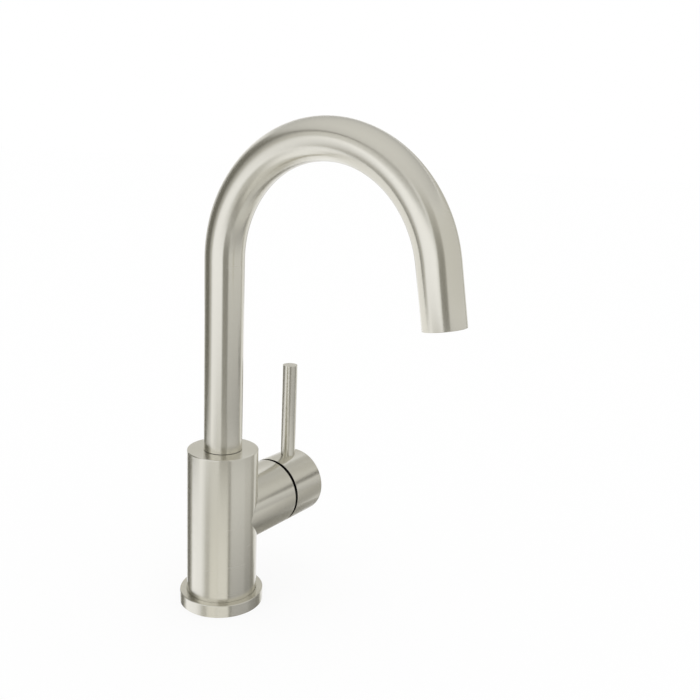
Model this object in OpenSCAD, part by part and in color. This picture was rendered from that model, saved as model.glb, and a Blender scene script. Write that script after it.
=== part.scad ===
// Single-lever sink faucet with a side valve arm and a swivelling gooseneck spout.
// The origin is the centre of the flange's underside, on the deck.
// +Z is up, the spout reaches towards -Y and the valve arm points towards +X.

/* [Base flange] */
// How far the flange stands out round the body
flange_ledge = 4.5; // [4:0.25:7]
// Height of the flange
flange_h = 8.3; // [6:0.1:11]
// Thickness of the lip that the body stands on
flange_lip_t = 2; // [1.8:0.1:3]
// Width of the lip under the body, round the opening for the hoses and the stud
flange_lip_w = 5.25; // [4.5:0.25:6]
// Rounding of the flange's top edge
flange_round = 0.5; // [0.2:0.1:1]
// Distance of the gasket from the flange's edge
gasket_inset = 1.75; // [1:0.25:2.5]
// Width of the gasket
gasket_w = 4; // [2.5:0.5:5]
// Thickness of the gasket
gasket_t = 1.2; // [0.8:0.1:1.2]

/* [Body] */
// Height of the body's top face above the deck
body_top_z = 107; // [105:0.5:125]
// Rounding of the body's top edge
body_round = 0.6; // [0.3:0.1:1.2]
// How much larger the body's radius is than the arm's
arm_step = 0.05; // [0.05:0.05:0.5]
// Wall of the arm round the cartridge
arm_wall = 5.4; // [5:0.1:6]
// How much wider than the cartridge's bore the arm's mouth is
mouth_step = 2.2; // [1.8:0.1:2.4]
// Depth of the arm's mouth in front of the retaining nut
mouth_depth = 10.18; // [9.8:0.02:12]
// Chamfer round the arm's end
arm_chamfer = 0.6; // [0.4:0.1:0.8]
// Wall of the arm's spigot inside the body
spigot_wall = 1.4; // [1.2:0.1:1.6]
// Metal between the arm's spigot and the spout's socket
socket_web = 2; // [1.5:0.1:3]

/* [Water ways] */
// Distance of the inlets behind the body's axis
inlet_back = 4; // [3.5:0.1:4.5]
// Distance of each inlet to the side of the body's axis
inlet_side = 7.5; // [7.5:0.1:8.5]
// Diameter of the inlet threads, M10 x 1
inlet_thread_d = 10; // [9:1:10]
// Depth of the inlet threads
inlet_thread_depth = 12; // [9:1:16]
// Diameter of the drillings that rise from the inlets
inlet_riser_d = 6; // [5:0.2:6]
// Distance of the mounting stud's hole in front of the body's axis, along the arm
stud_x = 11; // [9:0.5:12]
// Diameter of the mounting stud's thread, M8
stud_thread_d = 8; // [6:1:8]
// Depth of the mounting stud's thread
stud_thread_depth = 18; // [12:1:20]
// Diameter of the cartridge's inlet ports
inlet_port_d = 4.4; // [3.6:0.2:4.4]
// Distance of each inlet port to the side of the arm's axis
inlet_port_side = 4.9; // [4.9:0.1:5.3]
// Height of the inlet ports above the arm's axis
inlet_port_up = 7; // [6.8:0.1:7.4]
// Diameter of the cartridge's outlet port
outlet_port_d = 6; // [5:0.2:6]
// Depth of the outlet port below the arm's axis
outlet_port_down = 3; // [2.6:0.1:3.2]
// Distance of the outlet's riser from the wall of the spout's socket
outlet_riser_in = 0.3; // [0.2:0.1:0.8]
// Diameter of the outlet's riser
outlet_riser_d = 6.4; // [5.2:0.2:6.4]

/* [Cartridge] */
// Distance of the cartridge's seat from the body's axis
seat_x = 9; // [8.5:0.1:10]
// Diameter of the cartridge
cartridge_d = 35; // [34:0.5:40]
// Thickness of the cartridge's base
cartridge_base_t = 5; // [4.6:0.1:5.2]
// Wall of the housing round the discs
housing_wall = 2.4; // [2:0.1:2.5]
// Thickness of the fixed disc
fixed_disc_t = 4; // [3.6:0.1:4.2]
// Thickness of the moving disc
moving_disc_t = 3.5; // [3.3:0.1:3.7]
// Space that the moving disc leaves to the housing at the end of its slide
disc_play = 0.36; // [0.3:0.02:0.6]
// Diameter of the mixing pocket in the moving disc
pocket_d = 12; // [11:0.2:12.4]
// Distance of the mixing pocket below the moving disc's centre
pocket_down = 1; // [0.8:0.1:1.2]
// Depth of the mixing pocket
pocket_depth = 2; // [1.4:0.1:2.2]
// Depth of the flat on each side of the disc carrier, for its guides
carrier_flat = 2.5; // [2.2:0.1:3]
// Height of the disc carrier
carrier_h = 7.2; // [7:0.1:7.3]
// Distance from the moving disc to the centre of the stem's ball
ball_up = 4.38; // [4.3:0.02:4.5]
// Distance from the centre of the stem's ball to the pivot pin
ball_arm = 8; // [7.8:0.1:8.1]
// Diameter of the stem's ball
ball_d = 6; // [5.6:0.1:6]
// Width of the square stem
stem_w = 8; // [7:0.1:8]
// Diameter of the pivot pin
pin_d = 3; // [2.5:0.1:3]
// Width of the shoulder that the retaining nut presses on
shoulder_w = 3.5; // [3.2:0.1:3.8]
// Wall of the housing's neck
neck_wall = 1.5; // [1.3:0.1:1.6]
// Wall of the bonnet dome
dome_wall = 1; // [0.8:0.1:1.2]

/* [Handle] */
// Gap between the arm's end and the handle hub
hub_gap = 1.6; // [1.5:0.1:2.2]
// Length of the hub
hub_len = 29.1; // [28:0.1:34]
// Wall of the hub round its hollow
hub_wall = 1.35; // [1.1:0.05:1.4]
// Depth of the hub's hollow
hub_hollow = 6.5; // [6:0.1:7.5]
// Bevel round the hub's outer end
hub_bevel = 0.5; // [0.2:0.1:1]
// Distance from the hub's rim to the lever's axis
lever_from_rim = 17.5; // [17:0.1:21]
// Diameter of the lever
lever_d = 10.4; // [9:0.1:12]
// Height of the lever's top above the arm's axis
lever_top = 89.9; // [60:0.1:110]
// Chamfer round the lever's top
lever_chamfer = 0.4; // [0.2:0.1:1]
// Diameter of the lever's threaded end, M6
lever_thread_d = 6; // [5:0.5:6]
// Length of the lever's threaded end
lever_thread_len = 12; // [8:0.5:12]

/* [Spout] */
// Outside diameter of the spout's tube
tube_d = 25; // [24:0.5:26]
// Wall of the spout's tube
tube_wall = 1.5; // [1:0.1:1.6]
// Height of the straight rise from the body's top to the start of the bend
spout_rise = 124.5; // [80:0.5:160]
// Radius of the bend, to the middle of the tube
bend_r = 75.5; // [60:0.5:100]
// Angle of the bend
bend_angle = 170; // [150:1:180]
// Length of the straight end after the bend
spout_end = 35; // [30:0.5:50]
// How much narrower than the tube's inside the socket is that the spout turns in
socket_step = 1; // [0.8:0.1:1.4]
// Depth of that socket
socket_depth = 25; // [24:0.1:25]
// Wall of the spout's foot under its O-ring grooves
foot_wall = 2.05; // [1.95:0.05:2.6]
// Length of the foot inside the tube
foot_plug_len = 20; // [12:1:30]
// Height that the slide ring stands proud of the body
ring_proud = 0.25; // [0.2:0.05:0.6]
// Depth of the slide ring's seat
ring_seat = 1.5; // [1.2:0.1:2]

/* [Travel] */
// Swivel of the spout to each side, in degrees
swivel_angle = 60; // [30:5:60]
// Turn of the handle to each side for temperature, in degrees
temperature_angle = 45; // [40:1:48]
// Outward tilt of the handle for full flow, in degrees
flow_angle = 20; // [16:1:20]

/* [Aerator] */
// Wall of the threaded adapter round the aerator
adapter_wall = 1.6; // [1.4:0.1:2]
// Wall of the aerator's shell
aerator_wall = 1.5; // [1.2:0.1:1.8]
// Height of the aerator's shell
aerator_h = 8; // [7:0.5:10]
// Recess of the aerator inside the spout's end
aerator_recess = 1; // [0.5:0.1:2]

/* [Fits] */
// Radial play of a part that turns or slides
running_fit = 0.05; // [0.02:0.01:0.08]
// Radial play of a thread, drawn as a plain cylinder
thread_fit = 0.1; // [0.05:0.05:0.15]
// Play between parts that are put together and stay
seat_fit = 0.1; // [0.05:0.05:0.15]
// Spare angle behind each stop, in degrees
stop_slack = 0.4; // [0.2:0.1:0.8]

/* [Hidden] */
$fn = 96;
past = 1;

// Finish and material colours
satin_nickel = "#beb9ad";
brass = "#c9a85a";
ceramic = "#f1efe8";
acetal = "#e9e7e1";
rubber = "#232323";
dark_plastic = "#2c2b2a";
steel = "#a9abae";
grey_plastic = "#8f9498";

// Cartridge, counted along the arm from its seat
cartridge_r = cartridge_d / 2;
cartridge_bore_r = cartridge_r + 3 * seat_fit;
seal_h = 1.4;
seal_proud = 0.3;
seal_w = 1.1;
seal_gap = 0.3;
base_x = seat_x + cartridge_base_t;
fixed_disc_x = base_x + seal_proud;
disc_film = 0.02;
moving_disc_x = fixed_disc_x + fixed_disc_t + disc_film;
disc_travel = ball_arm * sin(flow_angle);
housing_in_r = cartridge_r - housing_wall;
moving_disc_r = housing_in_r - disc_travel - disc_play;
carrier_x = moving_disc_x + moving_disc_t;
carrier_end_x = carrier_x + carrier_h;
carrier_w = 2 * (moving_disc_r - carrier_flat);
ball_x = carrier_x + ball_up;
ball_pocket_floor = 0.3;
pivot_x = ball_x + ball_arm;
turret_r = housing_in_r - 2 * running_fit;
neck_r = cartridge_r - shoulder_w;
neck_in_r = neck_r - neck_wall;
turret_neck_r = neck_in_r - 2 * running_fit;
turret_gap = 0.2;
ring_x = carrier_end_x + turret_gap;
turret_ring_t = 1.7;
inner_shoulder_x = ring_x + turret_ring_t + turret_gap / 2;
shoulder_t = 2;
shoulder_x = inner_shoulder_x + shoulder_t;
bore_step_x = shoulder_x - turret_gap * 2;
nut_h = 8;
nut_slot_w = 3;
nut_slot_depth = 2;
dome_x = shoulder_x + nut_h;
neck_proud = 0.7;
neck_end_x = dome_x + neck_proud;
turret_proud = 0.3;
turret_end_x = neck_end_x + turret_proud;
cheek_drop = 7.5;
cheek_x = carrier_x + turret_gap;
stop_rib_depth = 1.9;
stop_rib_r = housing_in_r - stop_rib_depth;
stop_rib_x = cheek_x + 1;
stop_rib_half = acos(cheek_drop / stop_rib_r) - temperature_angle - stop_slack;
locating_pin_in = 5;
locating_pin_side = cartridge_r - locating_pin_in;
locating_pin_down = 6;
locating_pin_r = 1.2;
locating_pin_len = 1.5;
lug_w = 3.8;
lug_h = 3;
lug_in = 0.6;
lug_reach = housing_in_r - lug_in;
lug_t = 2;
drive_pin_in = 4.6;
drive_pin_side = moving_disc_r - drive_pin_in;
drive_pin_r = 1.2;
drive_pin_len = 1.5;
stem_neck_d = 3.8;
stem_from = 3.2;
tilt_stop = flow_angle + stop_slack;
stem_slot_low = (turret_end_x - pivot_x) * tan(tilt_stop) + stem_w / 2 / cos(tilt_stop);
stem_slot_high = stem_from * sin(tilt_stop) + stem_w / 2 * cos(tilt_stop) + 2 * running_fit;

// Body and arm
arm_r = cartridge_bore_r + arm_wall;
body_r = arm_r + arm_step;
body_bottom_z = flange_lip_t;
flange_r = body_r + flange_ledge;
flange_opening_r = body_r - flange_lip_w;
gasket_r = flange_r - gasket_inset;
arm_end_x = dome_x + mouth_depth;
arm_spigot_r = cartridge_bore_r + spigot_wall;
mouth_r = cartridge_bore_r + mouth_step;
socket_z = body_top_z - socket_depth;
arm_axis_z = socket_z - socket_web - arm_spigot_r;

// Bonnet dome, a zone of a sphere about the pivot
dome_foot_h = 2.5;
dome_foot_x = dome_x - pivot_x;
dome_ledge = 1.3;
dome_r = norm([dome_foot_x + dome_foot_h, mouth_r - dome_ledge]);
dome_opening_r = 13.5;

// Handle
hub_r = arm_r;
hub_x = arm_end_x + hub_gap;
hub_end_x = hub_x + hub_len;
hub_floor_x = hub_x + hub_hollow;
hub_rim_bevel = 0.3;
boss_r = 8.5;
boss_proud = 2.8;
boss_x = hub_floor_x - boss_proud;
stem_in_hub = 15.2;
stem_end_x = hub_x + stem_in_hub;
stem_end_gap = 0.5;
stem_socket_end_x = stem_end_x + stem_end_gap;
lever_x = hub_x + lever_from_rim;
lever_r = lever_d / 2;
lever_sink = 2.1;
lever_seat_z = arm_axis_z + hub_r - lever_sink;
lever_thread_z = lever_seat_z - lever_thread_len;
set_screw_from_rim = 10.2;
set_screw_x = hub_x + set_screw_from_rim;
set_screw_d = 5;
set_screw_len = 10;
plug_d = 6.4;
plug_h = 2;
plug_sink = 0.25;

// Spout
tube_r = tube_d / 2;
tube_in_r = tube_r - tube_wall;
socket_r = tube_in_r - socket_step;
outlet_riser_back = socket_r - outlet_riser_d / 2 - outlet_riser_in;
spigot_r = socket_r - running_fit;
spigot_gap = 1;
spigot_z = socket_z + spigot_gap;
spigot_chamfer = 0.5;
foot_z = body_top_z + ring_proud;
plug_top_z = foot_z + foot_plug_len;
bend_z = body_top_z + spout_rise;
ring_in_r = socket_r + 2 * seat_fit;
ring_inset = 0.4;
ring_out_r = tube_r - ring_inset;
ring_z = body_top_z - ring_seat;
o_ring_groove = 1.4;
o_ring_groove_w = 2.2;
o_ring_low_z = socket_z + 6;
o_ring_high_z = body_top_z - 7;
o_ring_section_r = o_ring_groove / 2;
foot_bore_r = spigot_r - o_ring_groove - foot_wall;
stop_z = (o_ring_low_z + o_ring_high_z) / 2;
stop_groove_depth = 2.05;
stop_groove_r = spigot_r - stop_groove_depth;
stop_groove_w = 3.4;
dog_r = 1.5;
dog_gap = 0.3;
dog_tip_y = stop_groove_r + dog_gap;
dog_len = 5;
grub_d = 5;
grub_y = dog_tip_y + dog_len;
grub_sink = 1.2;
grub_end_y = body_r - grub_sink;
swivel_groove_half = swivel_angle + asin(dog_r / dog_tip_y) + stop_slack;
hex_key = 2.5;
hex_depth = 2.2;
end_step = 0.02;
end_lap = 1;

// Aerator, counted up the spout from its end
outlet_tilt = 180 - bend_angle;
adapter_r = tube_in_r - seat_fit / 2;
adapter_end = aerator_recess / 2;
adapter_top = 3.5;
aerator_thread_r = adapter_r - adapter_wall;
aerator_r = aerator_thread_r - thread_fit;
aerator_in_r = aerator_r - aerator_wall;
washer_t = 1.5;
washer_z = aerator_recess + aerator_h;
adapter_step_z = washer_z + washer_t;
adapter_end_z = washer_z + adapter_top;
screen_gap = 0.6;
screen_z = aerator_recess + screen_gap;
screen_h = 1.6;
screen_rim = 0.8;
screen_bar = 0.5;
screen_bars = 2;
regulator_gap = 1;
regulator_z = screen_z + screen_h + regulator_gap;
regulator_h = 3;
regulator_hole_r = 1.2;
notch_count = 8;
notch_w = 1.6;
notch_depth = 1.4;
notch_wall = 0.5;

// Points of a circular arc, for a profile
function arc(x, y, r, from, to, steps = 6) =
    [for (i = [0:steps]) [x + r * cos(from + (to - from) * i / steps),
                          y + r * sin(from + (to - from) * i / steps)]];

// Points of a square edge that is rounded outwards, turning from right to up
function rounded_corner(x, y, r) = arc(x - r, y - r, r, 0, 90);

// A profile of radius and height turned about the Z axis
module turned(profile) {
    rotate_extrude() polygon(profile);
}

// Places children on the arm's axis, with their Z axis along it
module on_arm(x, side = 0, up = 0) {
    translate([x, side, arm_axis_z + up]) rotate([0, 90, 0]) children();
}

// A rod along the arm between two distances from the body's axis
module arm_rod(from, to, r, side = 0, up = 0) {
    on_arm(from, side, up) cylinder(h = to - from, r = r);
}

// A ring along the arm
module arm_ring(from, to, outer_r, inner_r, side = 0, up = 0) {
    difference() {
        arm_rod(from, to, outer_r, side, up);
        arm_rod(from - past, to + past, inner_r, side, up);
    }
}

// A block along the arm, centred on it in height and width
module arm_block(from, to, width, height, side = 0, up = 0) {
    translate([from, side - width / 2, arm_axis_z + up - height / 2]) cube([to - from, width, height]);
}

// A plain ring standing on Z
module ring(outer_r, inner_r, h) {
    difference() {
        cylinder(h = h, r = outer_r);
        translate([0, 0, -past]) cylinder(h = h + 2 * past, r = inner_r);
    }
}

// A grub screw along +Z with its key socket at the far end
module grub_screw(d, len) {
    difference() {
        cylinder(h = len, r = d / 2 - thread_fit);
        translate([0, 0, len - hex_depth]) cylinder(h = hex_depth + past, r = hex_key / sqrt(3), $fn = 6);
    }
}

// The three ports through a piece of the cartridge
module ports(from, to, grow = 0) {
    for (side = [-1, 1])
        arm_rod(from, to, inlet_port_d / 2 + grow, side * inlet_port_side, inlet_port_up);
    arm_rod(from, to, outlet_port_d / 2 + grow, 0, -outlet_port_down);
}

// The three seal rings round the ports
module seal_rings(from) {
    difference() {
        ports(from, from + seal_h, seal_gap + seal_w);
        ports(from - past, from + seal_h + past, seal_gap);
    }
}

// The counterbores that those rings lie in
module seal_seats(from, to) {
    ports(from, to, seal_gap + seal_w + seat_fit / 2);
}

module water_ways() {
    for (side = [-1, 1]) {
        translate([-inlet_back, side * inlet_side, 0]) {
            cylinder(h = arm_axis_z + inlet_port_up + inlet_port_d, r = inlet_riser_d / 2);
            cylinder(h = body_bottom_z + inlet_thread_depth, r = inlet_thread_d / 2);
        }
        arm_rod(past - inlet_back, seat_x + past, inlet_port_d / 2,
                side * inlet_port_side, inlet_port_up);
    }
    arm_rod(-outlet_riser_back, seat_x + past, outlet_port_d / 2, 0, -outlet_port_down);
    translate([-outlet_riser_back, 0, arm_axis_z - outlet_port_down])
        cylinder(h = socket_z + past - arm_axis_z + outlet_port_down, r = outlet_riser_d / 2);
}

module body_casting() {
    color(satin_nickel)
    difference() {
        turned(concat(
            [[0, body_bottom_z], [body_r, body_bottom_z]],
            rounded_corner(body_r, body_top_z, body_round),
            [[0, body_top_z]]
        ));
        arm_rod(seat_x, body_r + past, arm_spigot_r + seat_fit / 2);
        water_ways();
        translate([stud_x, 0, 0]) cylinder(h = body_bottom_z + stud_thread_depth, r = stud_thread_d / 2);
        translate([0, 0, socket_z]) cylinder(h = socket_depth + past, r = socket_r);
        translate([0, 0, ring_z]) cylinder(h = ring_seat + past, r = ring_out_r + seat_fit);
        translate([0, 0, stop_z]) rotate([-90, 0, 0]) cylinder(h = body_r + past, r = grub_d / 2);
        for (side = [-1, 1])
            arm_rod(seat_x - locating_pin_len - seat_fit, seat_x + past, locating_pin_r + seat_fit,
                    side * locating_pin_side, -locating_pin_down);
    }
}

// The arm is brazed on: its outside ends in a saddle and its spigot reaches the cartridge's seat
module valve_arm() {
    color(satin_nickel)
    difference() {
        union() {
            difference() {
                on_arm(0) turned([
                    [0, 0],
                    [arm_r, 0],
                    [arm_r, arm_end_x - arm_chamfer],
                    [arm_r - arm_chamfer, arm_end_x],
                    [0, arm_end_x]
                ]);
                cylinder(h = body_top_z, r = body_r + seat_fit / 2);
            }
            arm_rod(seat_x, body_r + past, arm_spigot_r);
        }
        arm_rod(seat_x - past, arm_end_x, cartridge_bore_r);
        arm_rod(bore_step_x, arm_end_x + past, mouth_r);
    }
}

module base_flange() {
    color(satin_nickel)
    difference() {
        turned(concat(
            [[flange_opening_r, 0], [flange_r, 0]],
            rounded_corner(flange_r, flange_h, flange_round),
            [[body_r + seat_fit, flange_h], [body_r + seat_fit, flange_lip_t]],
            [[flange_opening_r, flange_lip_t]]
        ));
        translate([0, 0, -past]) ring(gasket_r, gasket_r - gasket_w, gasket_t + past);
    }
}

module base_gasket() {
    color(rubber)
    ring(gasket_r - seat_fit, gasket_r - gasket_w + seat_fit, gasket_t);
}

module swivel_bearing_ring() {
    color(acetal)
    translate([0, 0, ring_z]) ring(ring_out_r, ring_in_r, ring_seat + ring_proud);
}

module spout_retaining_screw() {
    color(steel)
    translate([0, 0, stop_z]) rotate([-90, 0, 0]) {
        translate([0, 0, dog_tip_y]) cylinder(h = grub_y - dog_tip_y, r = dog_r);
        translate([0, 0, grub_y]) grub_screw(grub_d, grub_end_y - grub_y);
    }
}

module cartridge_housing() {
    color(grey_plastic) {
        on_arm(0) turned([
            [housing_in_r, base_x],
            [cartridge_r, base_x],
            [cartridge_r, shoulder_x],
            [neck_r, shoulder_x],
            [neck_r, neck_end_x],
            [neck_in_r, neck_end_x],
            [neck_in_r, inner_shoulder_x],
            [housing_in_r, inner_shoulder_x]
        ]);
        on_arm(stop_rib_x) rotate([0, 0, -stop_rib_half])
            rotate_extrude(angle = 2 * stop_rib_half)
            translate([stop_rib_r, 0])
            square([housing_in_r - stop_rib_r + housing_wall / 2, carrier_end_x - stop_rib_x]);
    }
}

module cartridge_base() {
    color(dark_plastic)
    difference() {
        union() {
            arm_rod(seat_x, base_x, cartridge_r);
            for (side = [-1, 1]) {
                arm_rod(seat_x - locating_pin_len, seat_x + past, locating_pin_r,
                        side * locating_pin_side, -locating_pin_down);
                arm_block(base_x - past, base_x + lug_h, lug_t, lug_w, side * (lug_reach - lug_t / 2));
            }
        }
        ports(seat_x - past, base_x + past);
        seal_seats(seat_x - past, seat_x + seal_h);
        seal_seats(base_x + seal_proud - seal_h, base_x + past);
    }
}

module port_seals() {
    color(rubber) seal_rings(seat_x);
}

module disc_seals() {
    color(rubber) seal_rings(fixed_disc_x - seal_h);
}

module fixed_disc() {
    color(ceramic)
    difference() {
        arm_rod(fixed_disc_x, fixed_disc_x + fixed_disc_t, housing_in_r - 2 * seat_fit);
        ports(fixed_disc_x - past, fixed_disc_x + fixed_disc_t + past);
        for (side = [-1, 1])
            arm_block(fixed_disc_x - past, base_x + lug_h + seat_fit, lug_t + 2, lug_w + 2 * seat_fit,
                      side * (lug_reach - lug_t / 2 + 1 - seat_fit));
    }
}

module retaining_nut() {
    color(brass)
    difference() {
        arm_ring(shoulder_x, dome_x, mouth_r - 2 * thread_fit, neck_r + 2 * seat_fit);
        for (turn = [0:45:135])
            on_arm(dome_x - nut_slot_depth) rotate([0, 0, turn]) translate([-mouth_r, -nut_slot_w / 2, 0])
                cube([2 * mouth_r, nut_slot_w, nut_slot_depth + past]);
    }
}

module bonnet_dome() {
    shell_in_r = dome_r - dome_wall;
    foot_r = mouth_r - 2 * thread_fit;
    color(dark_plastic)
    on_arm(pivot_x) turned(concat(
        arc(0, 0, shell_in_r, asin(dome_foot_x / shell_in_r), acos(dome_opening_r / shell_in_r), 10),
        arc(0, 0, dome_r, acos(dome_opening_r / dome_r), asin((dome_foot_x + dome_foot_h) / dome_r), 10),
        [[foot_r, dome_foot_x + dome_foot_h], [foot_r, dome_foot_x]]
    ));
}

module turret() {
    color(acetal)
    difference() {
        union() {
            arm_rod(cheek_x, ring_x + turret_ring_t, turret_r);
            arm_rod(ring_x, turret_end_x, turret_neck_r);
        }
        arm_block(cheek_x - past, ring_x, carrier_w + 4 * running_fit, 2 * turret_r + past);
        arm_block(cheek_x - past, ring_x, 2 * turret_r + past, turret_r, 0, -cheek_drop - turret_r / 2);
        arm_block(ring_x - past, turret_end_x + past, stem_w + 6 * running_fit,
                  stem_slot_low + stem_slot_high, 0, (stem_slot_high - stem_slot_low) / 2);
        translate([pivot_x, 0, arm_axis_z]) rotate([90, 0, 0])
            cylinder(h = 2 * neck_r, r = pin_d / 2 + running_fit / 2, center = true);
    }
}

module pivot_pin() {
    color(steel)
    translate([pivot_x, 0, arm_axis_z]) rotate([90, 0, 0])
        cylinder(h = 2 * (turret_neck_r - turret_gap), r = pin_d / 2, center = true);
}

module disc_carrier() {
    color(acetal)
    difference() {
        union() {
            intersection() {
                arm_rod(carrier_x, carrier_end_x, moving_disc_r);
                arm_block(carrier_x - past, carrier_end_x + past, carrier_w, 2 * moving_disc_r + past);
            }
            for (side = [-1, 1])
                arm_rod(carrier_x - drive_pin_len, carrier_x + past, drive_pin_r, side * drive_pin_side);
        }
        arm_rod(ball_x - ball_d / 2 - ball_pocket_floor, carrier_end_x + past,
                ball_d / 2 + 2 * running_fit);
    }
}

module moving_disc() {
    color(ceramic)
    difference() {
        arm_rod(moving_disc_x, carrier_x, moving_disc_r);
        arm_rod(moving_disc_x - past, moving_disc_x + pocket_depth, pocket_d / 2, 0, -pocket_down);
        for (side = [-1, 1])
            arm_rod(carrier_x - drive_pin_len - seat_fit, carrier_x + past, drive_pin_r + running_fit,
                    side * drive_pin_side);
    }
}

module stem() {
    color(brass)
    difference() {
        union() {
            arm_block(pivot_x - stem_from, stem_end_x, stem_w, stem_w);
            arm_rod(ball_x, pivot_x - stem_from + past, stem_neck_d / 2);
            on_arm(ball_x) sphere(r = ball_d / 2);
        }
        translate([pivot_x, 0, arm_axis_z]) rotate([90, 0, 0])
            cylinder(h = stem_w + past, r = pin_d / 2 + running_fit, center = true);
    }
}

module handle_hub() {
    color(satin_nickel)
    difference() {
        on_arm(0) turned([
            [0, boss_x],
            [boss_r, boss_x],
            [boss_r, hub_floor_x],
            [hub_r - hub_wall, hub_floor_x],
            [hub_r - hub_wall, hub_x],
            [hub_r - hub_rim_bevel, hub_x],
            [hub_r, hub_x + hub_rim_bevel],
            [hub_r, hub_end_x - hub_bevel],
            [hub_r - hub_bevel, hub_end_x],
            [0, hub_end_x]
        ]);
        arm_block(boss_x - past, stem_socket_end_x, stem_w + seat_fit, stem_w + seat_fit);
        translate([lever_x, 0, lever_thread_z - past])
            cylinder(h = hub_r, r = lever_thread_d / 2 + thread_fit);
        translate([lever_x, 0, lever_seat_z]) cylinder(h = hub_r, r = lever_r + seat_fit / 2);
        translate([set_screw_x, 0, arm_axis_z - hub_r - past]) {
            cylinder(h = hub_r + past, r = set_screw_d / 2);
            cylinder(h = plug_h + plug_sink + past, r = plug_d / 2 + seat_fit / 2);
        }
    }
}

module lever() {
    color(satin_nickel)
    translate([lever_x, 0, 0]) turned([
        [0, lever_thread_z],
        [lever_thread_d / 2, lever_thread_z],
        [lever_thread_d / 2, lever_seat_z],
        [lever_r, lever_seat_z],
        [lever_r, arm_axis_z + lever_top - lever_chamfer],
        [lever_r - lever_chamfer, arm_axis_z + lever_top],
        [0, arm_axis_z + lever_top]
    ]);
}

module handle_set_screw() {
    color(steel)
    translate([set_screw_x, 0, arm_axis_z - stem_w / 2]) mirror([0, 0, 1])
        grub_screw(set_screw_d, set_screw_len);
}

module set_screw_plug() {
    color(satin_nickel)
    translate([set_screw_x, 0, arm_axis_z - hub_r + plug_sink]) cylinder(h = plug_h, r = plug_d / 2);
}

// The path of the spout as a solid. Its straight end has a radius of its own and starts inside the bend.
module spout_path(r, end_r, extra = 0) {
    translate([0, 0, foot_z - extra]) cylinder(h = bend_z - foot_z + extra, r = r);
    translate([0, -bend_r, bend_z]) rotate([90, 0, 90])
        rotate_extrude(angle = bend_angle) translate([bend_r, 0]) circle(r = r);
    at_outlet() translate([0, 0, -extra]) cylinder(h = spout_end + end_lap + extra, r = end_r);
}

// Places children at the spout's end, with their Z axis pointing up the spout
module at_outlet() {
    translate([0, -bend_r, bend_z]) rotate([-outlet_tilt, 0, 0])
        translate([0, -bend_r, -spout_end]) children();
}

module spout_tube() {
    color(satin_nickel)
    difference() {
        spout_path(tube_r, tube_r - end_step);
        spout_path(tube_in_r, tube_in_r + end_step, past);
    }
}

module spout_foot() {
    color(brass)
    difference() {
        turned([
            [foot_bore_r, spigot_z],
            [spigot_r - spigot_chamfer, spigot_z],
            [spigot_r, spigot_z + spigot_chamfer],
            [spigot_r, foot_z],
            [tube_in_r - seat_fit / 2, foot_z],
            [tube_in_r - seat_fit / 2, plug_top_z],
            [foot_bore_r, plug_top_z]
        ]);
        for (z = [o_ring_low_z, o_ring_high_z])
            translate([0, 0, z - o_ring_groove_w / 2])
                ring(socket_r + past, spigot_r - o_ring_groove, o_ring_groove_w);
        translate([0, 0, stop_z - stop_groove_w / 2]) rotate([0, 0, 90 - swivel_groove_half])
            rotate_extrude(angle = 2 * swivel_groove_half)
            translate([stop_groove_r, 0]) square([socket_r + past - stop_groove_r, stop_groove_w]);
    }
}

module spout_o_rings() {
    color(rubber)
    for (z = [o_ring_low_z, o_ring_high_z])
        translate([0, 0, z]) rotate_extrude()
            translate([spigot_r - o_ring_section_r, 0]) circle(r = o_ring_section_r, $fn = 48);
}

module aerator_adapter() {
    color(brass)
    at_outlet() turned([
        [aerator_thread_r, adapter_end],
        [adapter_r, adapter_end],
        [adapter_r, adapter_end_z],
        [aerator_in_r, adapter_end_z],
        [aerator_in_r, adapter_step_z],
        [aerator_thread_r, adapter_step_z]
    ]);
}

module aerator_shell() {
    color(grey_plastic)
    at_outlet() difference() {
        translate([0, 0, aerator_recess]) ring(aerator_r, aerator_in_r, aerator_h);
        for (turn = [0:360 / notch_count:359])
            rotate([0, 0, turn]) translate([aerator_in_r + notch_wall, -notch_w / 2, 0])
                cube([2 * aerator_wall, notch_w, aerator_recess + notch_depth]);
    }
}

module aerator_screen() {
    r = aerator_in_r - seat_fit;
    color(grey_plastic)
    at_outlet() translate([0, 0, screen_z]) {
        ring(r, r - screen_rim, screen_h);
        for (i = [-screen_bars:screen_bars]) {
            step = 2 * r / (2 * screen_bars + 2);
            half = sqrt(pow(r - screen_rim / 2, 2) - pow(i * step, 2));
            translate([i * step - screen_bar / 2, -half, 0]) cube([screen_bar, 2 * half, screen_h]);
            translate([-half, i * step - screen_bar / 2, 0]) cube([2 * half, screen_bar, screen_h]);
        }
    }
}

module aerator_flow_regulator() {
    color(acetal)
    at_outlet() translate([0, 0, regulator_z]) difference() {
        cylinder(h = regulator_h, r = aerator_in_r - seat_fit);
        for (turn = [0:60:300])
            rotate([0, 0, turn]) translate([0.6 * aerator_in_r, 0, -past])
                cylinder(h = regulator_h + 2 * past, r = regulator_hole_r);
    }
}

module aerator_washer() {
    color(rubber)
    at_outlet() translate([0, 0, washer_z]) ring(aerator_r, aerator_in_r, washer_t);
}

body_casting();
valve_arm();
base_flange();
base_gasket();
swivel_bearing_ring();
spout_retaining_screw();
cartridge_housing();
cartridge_base();
port_seals();
disc_seals();
fixed_disc();
retaining_nut();
bonnet_dome();
turret();
pivot_pin();
disc_carrier();
moving_disc();
stem();
handle_hub();
lever();
handle_set_screw();
set_screw_plug();
spout_tube();
spout_foot();
spout_o_rings();
aerator_adapter();
aerator_shell();
aerator_screen();
aerator_flow_regulator();
aerator_washer();
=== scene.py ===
import math

import bmesh
import bpy
from mathutils import Matrix, Vector


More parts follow.
